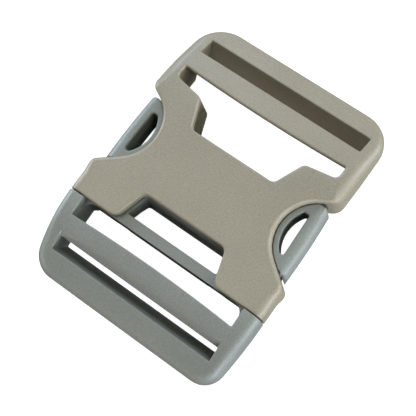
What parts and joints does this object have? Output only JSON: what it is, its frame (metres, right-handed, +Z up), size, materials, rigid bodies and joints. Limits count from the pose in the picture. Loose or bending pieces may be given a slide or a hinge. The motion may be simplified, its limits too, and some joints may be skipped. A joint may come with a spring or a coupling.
{
  "type": "side release buckle",
  "caption": "Fastened side release buckle for wide webbing: tan socket with finger cut-outs, grey plug with wings, and a ladder end on each side.",
  "frame": {"origin": "middle of the buckle's outline, on the surface that it lies on", "axes": "+X across the webbing, +Y along the webbing towards the socket's ladder end, +Z up from the surface"},
  "size_m": [0.0612, 0.0826, 0.014],
  "materials": {
    "tan_acetal": "fine grained",
    "grey_acetal": "fine grained"
  },
  "bodies": {
    "root": {"socket": "tan_acetal", "plug": "grey_acetal"}
  },
  "joints": []
}
